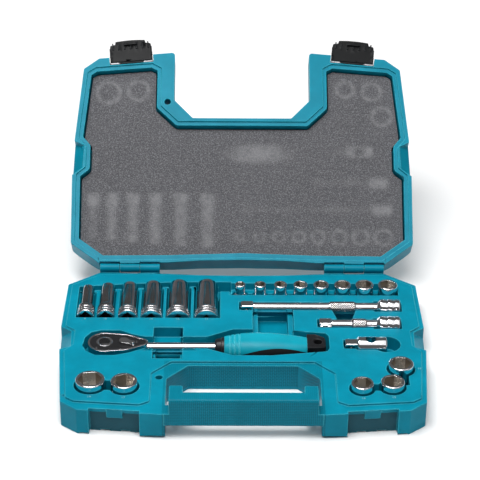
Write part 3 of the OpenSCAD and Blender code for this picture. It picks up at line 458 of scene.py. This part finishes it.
FINISHES = {make.__name__: make for make in (
    case_plastic, numerals, foam, latch_plastic, pin_steel, chrome, dark_chrome, socket_inside,
    socket_shade, knurled, tool_steel, cover_black, grip_rubber, grip_black)}
DRESSED = {}


def finish_for(slot, look):
    if slot not in DRESSED:
        DRESSED[slot] = FINISHES[slot](look)
    return DRESSED[slot]


# ---------------------------------------------------------------- sizes and colours

class SetLook(bpy.types.PropertyGroup):
    case_colour: FloatVectorProperty(
        name="Case", description="Colour of the case plastic",
        subtype="COLOR", default=(0.0008, 0.2, 0.29))
    grip_colour: FloatVectorProperty(
        name="Grip", description="Colour of the grip rubber",
        subtype="COLOR", default=(0.004, 0.29, 0.38))
    foam_colour: FloatVectorProperty(
        name="Foam", description="Colour of the foam pad",
        subtype="COLOR", default=(0.074, 0.074, 0.08))
    chrome_colour: FloatVectorProperty(
        name="Chrome", description="Colour of the plated tools",
        subtype="COLOR", default=(0.86, 0.86, 0.88))
    foam_grid: FloatProperty(
        name="Foam grid", description="Spacing of the foam face's points",
        unit="LENGTH", default=1.8 * MM, min=0.8 * MM)
    foam_press: FloatProperty(
        name="Foam press", description="How far the tools push into the foam",
        unit="LENGTH", default=4.4 * MM)
    foam_dent: FloatProperty(
        name="Foam dent", description="Depth of the dents that stay",
        unit="LENGTH", default=0.7 * MM)
    knurl_pitch: FloatProperty(
        name="Knurl pitch", description="Distance between the knurl's diamonds",
        unit="LENGTH", default=2.1 * MM, min=0.5 * MM)
    knurl_depth: FloatProperty(
        name="Knurl depth", description="Height of the knurl's diamonds",
        unit="LENGTH", default=0.5 * MM)
    numeral_size: FloatProperty(
        name="Numerals", description="Size of the letters of the size numbers",
        unit="LENGTH", default=3.6 * MM)
    case_edge: FloatProperty(
        name="Case edge", description="Width of the round on the case's edges",
        unit="LENGTH", default=0.5 * MM, min=0.1 * MM)
    tool_edge: FloatProperty(
        name="Tool edge", description="Width of the round on the tools' edges",
        unit="LENGTH", default=0.22 * MM, min=0.05 * MM)


class SetStage(bpy.types.PropertyGroup):
    key_power: FloatProperty(
        name="Key light", description="Power of the overhead softbox",
        unit="POWER", default=22.0)
    wash_power: FloatProperty(
        name="Wash", description="Power of the wide dim panel round the key light",
        unit="POWER", default=15.0)
    back_power: FloatProperty(
        name="Back light", description="Power of the softbox over the floor behind",
        unit="POWER", default=38.0)
    sky: FloatProperty(
        name="Sky", description="Strength of the surrounding white", default=0.1)
    floor_shade: FloatProperty(
        name="Floor", description="How pale the floor is", default=0.86, min=0.0, max=1.0)


# ---------------------------------------------------------------- shared modelling steps

def link(mesh, name):
    piece = bpy.data.objects.new(name, mesh)
    bpy.context.scene.collection.objects.link(piece)
    return piece


def mesh_from(work, name, sharp=32.0):
    """Turns a bmesh into a smooth-shaded object whose creases over that angle stay sharp."""
    mesh = bpy.data.meshes.new(name)
    work.to_mesh(mesh)
    work.free()
    mesh.shade_smooth()
    mesh.set_sharp_from_angle(angle=math.radians(sharp))
    return link(mesh, name)


def seat(piece, body, slot, look):
    piece.data.materials.clear()
    piece.data.materials.append(finish_for(slot, look))
    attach(piece, body)
    return piece


def span(piece):
    """The two far corners of a piece's box."""
    corners = [v.co for v in piece.data.vertices]
    return [Vector([pick(c[i] for c in corners) for i in range(3)]) for pick in (min, max)]


def cut(work, across, at, snap):
    """Cuts all faces along one plane."""
    bmesh.ops.bisect_plane(
        work, geom=work.verts[:] + work.edges[:] + work.faces[:], dist=snap,
        plane_co=across * at, plane_no=across)


def clearance(places, at):
    """How far a cut lies from the nearest of the sorted places."""
    after = bisect.bisect_left(places, at)
    return min(abs(place - at) for place in places[max(0, after - 1):after + 1])


def cut_into_cells(work, cell):
    """Cuts the faces into small cells. Each cut slides to where it is clear of the corners."""
    for axis in range(3):
        across = Vector((axis == 0, axis == 1, axis == 2))
        places = sorted(v.co[axis] for v in work.verts)
        low, high = places[0], places[-1]
        cuts = int((high - low) / cell)
        for i in range(1, cuts):
            near = low + (high - low) * i / cuts
            tries = (near + cell * step / CELL_PARTS for step in SLIDES)
            cut(work, across, max(tries, key=lambda at: clearance(places, at)), CUT_SNAP)


def joined(node):
    """A bmesh of a CAD node with seams merged and flat faces joined, the lid's as when shut."""
    work = bmesh.new()
    work.from_mesh(NODES[node].data)
    bmesh.ops.remove_doubles(work, verts=work.verts, dist=SEAM)
    bmesh.ops.dissolve_limit(
        work, angle_limit=FLAT_ANGLE, use_dissolve_boundaries=False,
        verts=work.verts, edges=work.edges)
    if BODY_OF[node] == "lid":
        bmesh.ops.transform(work, matrix=SHUT, verts=work.verts)
    return work


def rounded_copy(node, name, width, look, cell=4 * MM, crease=28.0, smooth=40.0, weigh=False):
    """A copy of a CAD node with rounded edges, which then stands for the node."""
    work = joined(node)
    bmesh.ops.remove_doubles(work, verts=work.verts, dist=CLOSE_SHARE * width)
    cut_into_cells(work, cell)
    if BODY_OF[node] == "lid":
        bmesh.ops.transform(work, matrix=SHUT.inverted(), verts=work.verts)
    piece = mesh_from(work, name, smooth)
    bevel = piece.modifiers.new("edges", "BEVEL")
    bevel.width, bevel.segments = width, 2
    bevel.limit_method, bevel.angle_limit = "ANGLE", math.radians(crease)
    bevel.use_clamp_overlap = False
    if weigh:
        weights = piece.modifiers.new("flat_faces", "WEIGHTED_NORMAL")
        weights.keep_sharp, weights.weight = True, 50
    else:
        bevel.harden_normals = True
    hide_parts(node)
    return seat(piece, BODY_OF[node], SLOT_OF[node], look)


def look_of(context):
    return context.scene.set_look


# ---------------------------------------------------------------- the pieces

class SETCASE_OT_shells(bpy.types.Operator):
    """Tray and lid shells with rounded edges."""
    bl_idname = "setcase.shells"
    bl_label = "Case shells"

    def execute(self, context):
        look = look_of(context)
        for node in ("tray", "lid"):
            rounded_copy(
                node, node + "_shell", look.case_edge, look,
                cell=6 * MM, crease=24, smooth=32, weigh=True)
        return {"FINISHED"}


class SETCASE_OT_latches(bpy.types.Operator):
    """Latches, their pins and the hinge pins."""
    bl_idname = "setcase.latches"
    bl_label = "Latches and pins"

    def execute(self, context):
        look = look_of(context)
        for side in ("left", "right"):
            rounded_copy("latch_" + side, f"latch_{side}_plate", LATCH_EDGE, look)
            for pin in ("latch_pin_", "hinge_pin_"):
                rounded_copy(pin + side, f"{pin}{side}_rod", PIN_EDGE, look)
        return {"FINISHED"}


def dress_bore(piece, along):
    """Gives the faces inside a socket the second and third finish, flat by flat: for the upright sockets a lit and
    a shaded copy of one metal, painted light and shade, with the bore's floor shaded.
    """
    low, high = span(piece)
    middle = (low + high) / 2
    for face in piece.data.polygons:
        out = face.center - middle
        out[along] = 0
        end_face = abs(face.normal[along]) > LOOKS_ALONG
        at_rim = min(face.center[along] - low[along], high[along] - face.center[along]) < RIM
        deep_in = out.length < BORE_SHARE * (high.x - low.x) and not at_rim
        if face.normal.dot(out.normalized()) < LOOKS_INWARD or (end_face and deep_in):
            flat = math.floor(math.atan2(face.normal.y, face.normal.x) / FLAT_TURN + FLAT_START)
            # Painted light and shade: every other flat takes the lit copy, the rest and the bore's floor the
            # shaded copy.
            face.material_index = 2 if flat % 2 or end_face else 1


class SETCASE_OT_sockets(bpy.types.Operator):
    """The nineteen sockets with softened rims."""
    bl_idname = "setcase.sockets"
    bl_label = "Sockets"

    def execute(self, context):
        look = look_of(context)
        for node in sorted(name for name in NODES if "socket_" in name):
            lying = node.startswith("deep")
            piece = rounded_copy(node, node + "_body", look.tool_edge, look)
            # Upright sockets get a lit and a shaded copy of the bore's metal, as painted light and shade.
            inside = ("tool_steel", "tool_steel") if lying else ("socket_inside", "socket_shade")
            for slot in inside:
                piece.data.materials.append(finish_for(slot, look))
            dress_bore(piece, 1 if lying else 2)
        return {"FINISHED"}


class SETCASE_OT_drive_tools(bpy.types.Operator):
    """Extensions, tee adapter and the ratchet's metal and plastic pieces."""
    bl_idname = "setcase.drive_tools"
    bl_label = "Drive tools"

    def execute(self, context):
        look = look_of(context)
        for node in sorted(NODES):
            if "socket_" in node or node.startswith(("tray", "lid", "latch", "hinge")):
                continue
            if node.endswith("_spring"):
                NODES[node].data.materials.clear()
                NODES[node].data.materials.append(finish_for(SLOT_OF[node], look))
                continue
            rounded_copy(node, node + "_piece", look.tool_edge, look)
        return {"FINISHED"}


def sleeve(name, body, start, end, behind, look):
    """A knurled band round a bar along X: a grid wrapped into a tube, its diamonds raised."""
    round_count = int(2 * math.pi * KNURL_RADIUS / look.knurl_pitch)
    long_count = int((end - start) / look.knurl_pitch)
    work = bmesh.new()
    bmesh.ops.create_grid(
        work, x_segments=KNURL_GRID * long_count, y_segments=KNURL_GRID * round_count, size=0.5)
    ridge = work.verts.layers.float.new("ridge")
    for vert in work.verts:
        along, turn = vert.co.x + 0.5, vert.co.y + 0.5
        waves = (
            along * long_count + turn * round_count,
            along * long_count - turn * round_count)
        height = min(1 - abs(2 * (wave % 1) - 1) for wave in waves)
        fade = min(1.0, KNURL_FADE * min(along, 1 - along))
        vert[ridge] = height
        reach = KNURL_RADIUS - (1 - fade) * KNURL_SINK + look.knurl_depth * height * fade
        angle = 2 * math.pi * turn
        vert.co = (
            start + (end - start) * along,
            behind + reach * math.cos(angle),
            BAR_HEIGHT + reach * math.sin(angle))
    bmesh.ops.remove_doubles(work, verts=work.verts, dist=WELD)
    bmesh.ops.holes_fill(work, edges=[e for e in work.edges if e.is_boundary])
    bmesh.ops.recalc_face_normals(work, faces=work.faces)
    band = seat(mesh_from(work, name, 60), body, SLOT_OF[body], look)
    band.data.materials[0] = finish_for("knurled", look)


class SETCASE_OT_knurls(bpy.types.Operator):
    """The knurled bands of the two extensions."""
    bl_idname = "setcase.knurls"
    bl_label = "Knurled bands"

    def execute(self, context):
        for body, start, end, behind in KNURLS:
            sleeve(body + "_knurl", body, start, end, behind, look_of(context))
        return {"FINISHED"}


def number_places():
    """Where each size number stands on the deck, as size and spots."""
    places = {}
    for size in DEEP_SIZES:
        low, high = span(NODES[f"deep_socket_{size}mm"])
        places[size] = [((low.x + high.x) / 2, DEEP_NUMBERS_BACK)]
    for size in FRONT_SIZES:
        low, high = span(NODES[f"socket_{size}mm"])
        if size == SIZE_ASIDE:
            spot = (high.x + NUMBER_GAP, (low.y + high.y) / 2)
        else:
            spot = ((low.x + high.x) / 2, low.y - NUMBER_GAP)
        places.setdefault(size, []).append(spot)
    return places


class SETCASE_OT_numerals(bpy.types.Operator):
    """Raised size numbers on the deck beside the large and the deep sockets."""
    bl_idname = "setcase.numerals"
    bl_label = "Size numerals"

    def execute(self, context):
        look = look_of(context)
        work = bmesh.new()
        for size, spots in number_places().items():
            words = bpy.data.curves.new(f"size_{size}", "FONT")
            words.body, words.size, words.extrude = str(size), look.numeral_size, NUMBER_HEIGHT
            words.align_x, words.align_y = "CENTER", "CENTER"
            writing = link(words, f"size_{size}")
            bpy.context.view_layer.update()
            mesh = bpy.data.meshes.new_from_object(writing)
            for spot in spots:
                placed = mesh.copy()
                placed.transform(Matrix.Translation((*spot, DECK_TOP)))
                work.from_mesh(placed)
            bpy.data.objects.remove(writing)
        numbers = seat(mesh_from(work, "size_numerals"), "tray", "case_plastic", look)
        numbers.data.materials[0] = finish_for("numerals", look)
        return {"FINISHED"}


def tools_tree():
    """All the tools' faces, to find what presses on the foam."""
    corners, faces = [], []
    for node, piece in NODES.items():
        if BODY_OF[node] not in ("tray", "lid", "latch_left", "latch_right"):
            first = len(corners)
            corners += [v.co.copy() for v in piece.data.vertices]
            faces += [[first + i for i in face.vertices] for face in piece.data.polygons]
    return BVHTree.FromPolygons(corners, faces)


def pressures(work, look):
    """How hard the tools press on each point of the foam's face, from 0 to 1, spread a little."""
    tree, reach = tools_tree(), look.foam_press + FOAM_REACH
    pressed = {}
    for vert in work.verts:
        gap = tree.ray_cast(vert.co, Vector((0, 0, -1)), reach)[3]
        missed = gap is None or vert.is_boundary
        pressed[vert] = 0.0 if missed else min(1.0, (reach - gap) / look.foam_press)
    for _ in range(FOAM_PASSES):
        spread = {}
        for vert, amount in pressed.items():
            near = [pressed[e.other_vert(vert)] for e in vert.link_edges]
            spread[vert] = 0.5 * amount + 0.5 * sum(near) / len(near)
        pressed = spread
    return pressed


class SETCASE_OT_foam(bpy.types.Operator):
    """The lid's foam pad: a cut sheet whose face keeps the dents of the tools."""
    bl_idname = "setcase.foam"
    bl_label = "Foam pad"

    def execute(self, context):
        look = look_of(context)
        work = joined("lid_foam")
        bottom, top = min(v.co.z for v in work.verts), max(v.co.z for v in work.verts)
        upper = [f for f in work.faces if any(v.co.z > bottom + FOAM_FACE for v in f.verts)]
        bmesh.ops.delete(work, geom=upper, context="FACES")
        for axis in (0, 1):
            across = Vector((axis == 0, axis == 1, 0))
            low, high = (pick(v.co[axis] for v in work.verts) for pick in (min, max))
            cuts = int((high - low) / look.foam_grid)
            for i in range(1, cuts):
                cut(work, across, low + (high - low) * i / cuts, FOAM_SNAP)
        layer = work.verts.layers.float.new("pressed")
        for vert, amount in pressures(work, look).items():
            vert[layer] = amount
            uneven = sum(noise.noise(vert.co * scale) * share for scale, share in FOAM_WAVES)
            if not vert.is_boundary:
                vert.co.z += look.foam_dent * amount + FOAM_RISE * (1 + uneven)
        rim = [e for e in work.edges if e.is_boundary]
        walls = bmesh.ops.extrude_edge_only(work, edges=rim)["geom"]
        for vert in (g for g in walls if isinstance(g, bmesh.types.BMVert)):
            vert.co.z = top
        back = [g for g in walls if isinstance(g, bmesh.types.BMEdge) and g.is_boundary]
        bmesh.ops.edgeloop_fill(work, edges=back)
        bmesh.ops.recalc_face_normals(work, faces=work.faces)
        bmesh.ops.transform(work, matrix=SHUT.inverted(), verts=work.verts)
        pad = mesh_from(work, "foam_pad", 50)
        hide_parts("lid_foam")
        seat(pad, "lid", "foam", look)
        return {"FINISHED"}


class SETCASE_OT_stage(bpy.types.Operator):
    """Floor, lights and camera."""
    bl_idname = "setcase.stage"
    bl_label = "Stage"

    def execute(self, context):
        stage, scene = context.scene.set_stage, context.scene
        work = bmesh.new()
        bmesh.ops.create_grid(work, x_segments=1, y_segments=1, size=FLOOR_HALF_SIDE)
        floor = mesh_from(work, "floor")
        paint = Finish("floor_white", Roughness=0.7)
        paint.set(Base_Color=[stage.floor_shade] * 3)
        floor.data.materials.append(paint.material)

        world = bpy.data.worlds.new("studio")
        world.use_nodes = True
        world.node_tree.nodes["Background"].inputs[0].default_value = (1.0, 1.0, 1.0, 1.0)
        world.node_tree.nodes["Background"].inputs[1].default_value = stage.sky
        scene.world = world
        for name, place, aim, size in LIGHTS:
            data = bpy.data.lights.new(name, "AREA")
            data.shape, data.size, data.size_y = "RECTANGLE", *size
            data.energy = getattr(stage, name + "_power")
            lamp = bpy.data.objects.new(name, data)
            lamp.location = place
            lamp.rotation_euler = (Vector(aim) - Vector(place)).to_track_quat("-Z", "Y").to_euler()
            lamp.visible_glossy = name != "back"
            scene.collection.objects.link(lamp)

        ahead = Vector((
            math.sin(CAMERA_YAW) * math.cos(CAMERA_PITCH),
            math.cos(CAMERA_YAW) * math.cos(CAMERA_PITCH),
            -math.sin(CAMERA_PITCH)))
        data = bpy.data.cameras.new("camera")
        data.lens, data.sensor_width, data.shift_y = CAMERA_LENS, CAMERA_SENSOR, CAMERA_SHIFT
        data.clip_start, data.clip_end = CAMERA_CLIP
        camera = bpy.data.objects.new("camera", data)
        scene.collection.objects.link(camera)
        camera.rotation_mode = "QUATERNION"
        level = ahead.to_track_quat("-Z", "Y")
        camera.rotation_quaternion = level @ Quaternion((0, 0, 1), CAMERA_ROLL)
        camera.location = Vector(CAMERA_AIM) - ahead * CAMERA_DISTANCE
        scene.camera = camera
        scene.view_settings.view_transform = "Standard"
        return {"FINISHED"}


class SETCASE_PT_pieces(bpy.types.Panel):
    """Lists the pieces of the set."""
    bl_idname = "SETCASE_PT_pieces"
    bl_label = "Socket set"
    bl_space_type = "VIEW_3D"
    bl_region_type = "UI"
    bl_category = "Socket set"

    def draw(self, context):
        layout = self.layout
        for group in (context.scene.set_look, context.scene.set_stage):
            for name in group.__annotations__:
                layout.prop(group, name)
        for maker in MAKERS:
            layout.operator(maker.bl_idname)


MAKERS = (
    SETCASE_OT_stage, SETCASE_OT_shells, SETCASE_OT_latches, SETCASE_OT_sockets,
    SETCASE_OT_drive_tools, SETCASE_OT_knurls, SETCASE_OT_numerals, SETCASE_OT_foam)
CLASSES = (SetLook, SetStage, *MAKERS, SETCASE_PT_pieces)


def register():
    for kind in CLASSES:
        bpy.utils.register_class(kind)
    bpy.types.Scene.set_look = PointerProperty(type=SetLook)
    bpy.types.Scene.set_stage = PointerProperty(type=SetStage)


def unregister():
    del bpy.types.Scene.set_stage
    del bpy.types.Scene.set_look
    for kind in reversed(CLASSES):
        bpy.utils.unregister_class(kind)


def main():
    register()
    for maker in MAKERS:
        group, action = maker.bl_idname.split(".")
        getattr(getattr(bpy.ops, group), action)()


if __name__ == "__main__":
    main()
